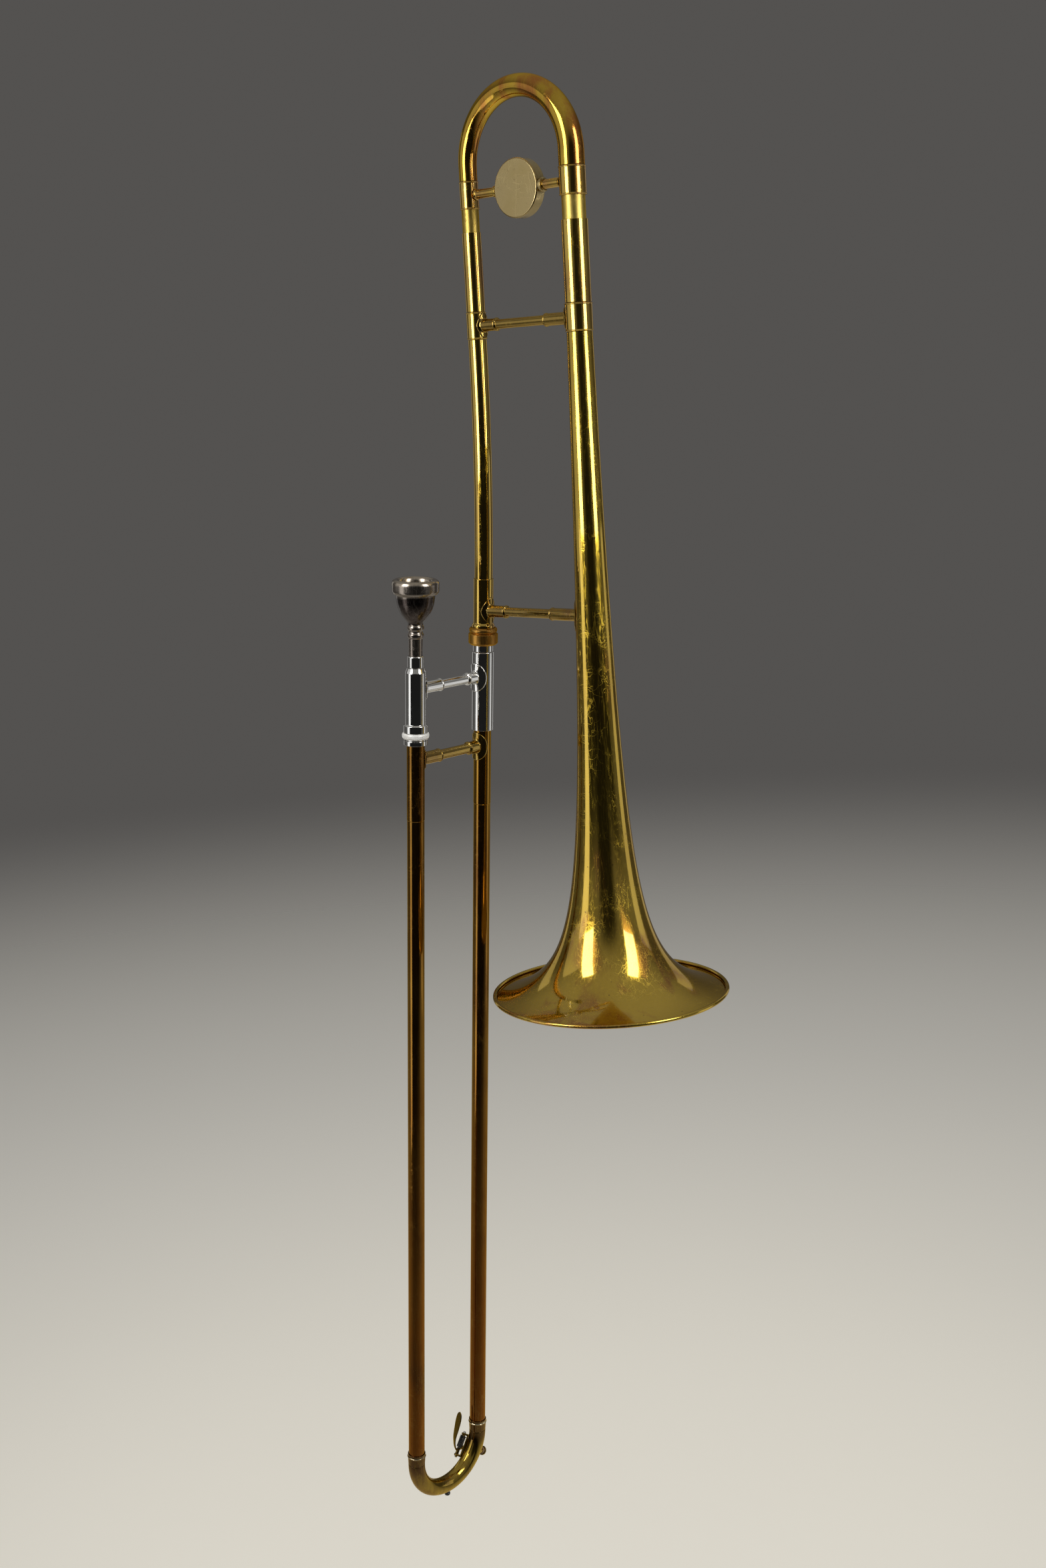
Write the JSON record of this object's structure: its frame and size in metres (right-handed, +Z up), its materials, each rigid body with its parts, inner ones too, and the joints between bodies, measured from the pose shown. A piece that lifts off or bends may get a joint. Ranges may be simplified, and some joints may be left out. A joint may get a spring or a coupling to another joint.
{
  "type": "tenor trombone",
  "caption": "Tenor trombone with straight bell section, puck counterweight, tuning slide, locking hand slide, water key and cup mouthpiece.",
  "frame": {"origin": "underside of the tuning bow, on the shoulder beside the neck leg, where the instrument hangs from a line", "axes": "+Z up along the bell section's tubes, the bell mouth and slide bow downwards; +X from the neck to the bell; the hand slide's mouthpiece side is towards -Y, and the slide leans 5.2 degrees to -X as it goes down"},
  "size_m": [0.2927, 0.1865, 1.1833],
  "materials": {
    "lacquered_brass": "lacquered yellow brass, patchy tarnish and fine scratches",
    "worn_brass": "brown tarnished brass with worn lacquer",
    "bare_brass": "dull bare brass",
    "nickel_silver": "bright nickel with faint scratches",
    "satin_nickel": "satin nickel, scratched",
    "tarnished_silver": "silver plate with dark tarnish",
    "dark_steel": "dark blued steel",
    "white_ring": "off-white ring, worn",
    "cork": "natural cork"
  },
  "bodies": {
    "tuning_slide": {"tuning_bow": "lacquered_brass", "neck_tuning_ferrule": "lacquered_brass", "bell_tuning_ferrule": "lacquered_brass", "neck_tuning_leg": "worn_brass", "bell_tuning_leg": "worn_brass", "counterweight": "satin_nickel", "neck_weight_stub": "lacquered_brass", "bell_weight_stub": "lacquered_brass"},
    "bell_section": {"neck_tuning_sleeve": "lacquered_brass", "bell_tuning_sleeve": "lacquered_brass", "neck_brace_ferrule": "lacquered_brass", "bell_brace_ferrule": "lacquered_brass", "neck_tube": "lacquered_brass", "bell_receiver": "lacquered_brass", "bell": "lacquered_brass", "bell_rim_wire": "lacquered_brass", "upper_brace": "lacquered_brass", "upper_brace_neck_flange": "lacquered_brass", "upper_brace_bell_flange": "lacquered_brass", "lower_brace": "lacquered_brass", "lower_brace_neck_flange": "lacquered_brass", "lower_brace_bell_flange": "lacquered_brass"},
    "inner_slide": {"slide_tenon": "nickel_silver", "upper_cork_barrel": "nickel_silver", "lower_cork_barrel": "nickel_silver", "mouthpiece_receiver": "nickel_silver", "upper_inner_tube": "nickel_silver", "lower_inner_tube": "nickel_silver", "upper_slide_cork": "cork", "lower_slide_cork": "cork", "inner_slide_brace": "nickel_silver", "inner_brace_upper_flange": "nickel_silver", "inner_brace_lower_flange": "nickel_silver"},
    "lock_nut": {"bell_lock_nut": "bare_brass"},
    "slide_lock": {"slide_lock_ring": "white_ring"},
    "outer_slide": {"upper_outer_tube": "worn_brass", "lower_outer_tube": "worn_brass", "lower_end_ring": "nickel_silver", "outer_slide_brace": "lacquered_brass", "outer_brace_upper_flange": "lacquered_brass", "outer_brace_lower_flange": "lacquered_brass", "upper_bow_ferrule": "worn_brass", "lower_bow_ferrule": "worn_brass", "slide_bow": "lacquered_brass", "slide_bumper": "dark_steel", "water_key_nipple": "lacquered_brass", "water_key_saddle": "lacquered_brass", "water_key_screw": "nickel_silver", "water_key_spring": "dark_steel"},
    "water_key": {"water_key_lever": "lacquered_brass", "water_key_cork": "cork"},
    "mouthpiece": {"mouthpiece": "tarnished_silver"}
  },
  "joints": [
    {"name": "tuning_pull", "type": "slide", "parent": "tuning_slide", "child": "bell_section", "axis": [0, 0, -1], "range_m": [-0.0165, 0.045]},
    {"name": "slide_swivel", "type": "hinge", "parent": "bell_section", "child": "inner_slide", "pos_m": [-0.03634, 0, -0.40485], "axis": [0.0906, 0, 0.9959], "range_deg": [-225, 45]},
    {"name": "lock_nut_turn", "type": "hinge", "parent": "inner_slide", "child": "lock_nut", "pos_m": [-0.03634, 0, -0.40485], "axis": [0.0906, 0, 0.9959], "range_deg": [0, 720]},
    {"name": "slide_lock_turn", "type": "hinge", "parent": "inner_slide", "child": "slide_lock", "pos_m": [-0.04154, -0.075, -0.46202], "axis": [0.0906, 0, 0.9959], "range_deg": [0, 35]},
    {"name": "hand_slide", "type": "slide", "parent": "inner_slide", "child": "outer_slide", "axis": [-0.0906, 0, -0.9959], "range_m": [0, 0.58]},
    {"name": "water_key_press", "type": "hinge", "parent": "outer_slide", "child": "water_key", "pos_m": [-0.11038, -0.01274, -1.12008], "axis": [0.0785, 0.5, 0.8625], "range_deg": [0, 18], "stiffness_Nm_per_rad": 0.02, "springref_deg": -20.05},
    {"name": "mouthpiece_pull", "type": "slide", "parent": "inner_slide", "child": "mouthpiece", "axis": [0.0906, 0, 0.9959], "range_m": [0, 0.045]}
  ]
}
